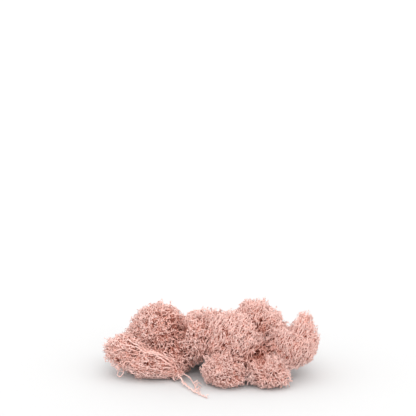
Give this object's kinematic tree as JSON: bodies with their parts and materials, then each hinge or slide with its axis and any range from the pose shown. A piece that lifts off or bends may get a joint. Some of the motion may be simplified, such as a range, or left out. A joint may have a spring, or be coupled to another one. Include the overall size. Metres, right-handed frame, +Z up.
{
  "type": "reindeer moss clump",
  "caption": "Low tangled clump of soft dyed reindeer moss: bushy tufts of finely forked strands, with a bare stem that trails out at the front.",
  "frame": {"origin": "middle of the clump's outline as seen from above, on the surface that it lies on", "axes": "+X along the clump's length, to the right of someone who looks at its front; +Y away from them; +Z up"},
  "size_m": [0.2422, 0.1698, 0.0826],
  "materials": {
    "dyed_lichen": "matte dyed lichen, dusty pink"
  },
  "bodies": {
    "root": {"crown_left": "dyed_lichen", "left_fan": "dyed_lichen", "low_fan": "dyed_lichen", "back_left": "dyed_lichen", "middle_hollow": "dyed_lichen", "back_hollow": "dyed_lichen", "middle_mound": "dyed_lichen", "front_left_lobe": "dyed_lichen", "diagonal_fan": "dyed_lichen", "top_mound": "dyed_lichen", "right_fan": "dyed_lichen", "front_right_lobe": "dyed_lichen", "inner_middle": "dyed_lichen", "back_middle": "dyed_lichen", "back_right": "dyed_lichen", "trailing_stem": "dyed_lichen"}
  },
  "joints": []
}
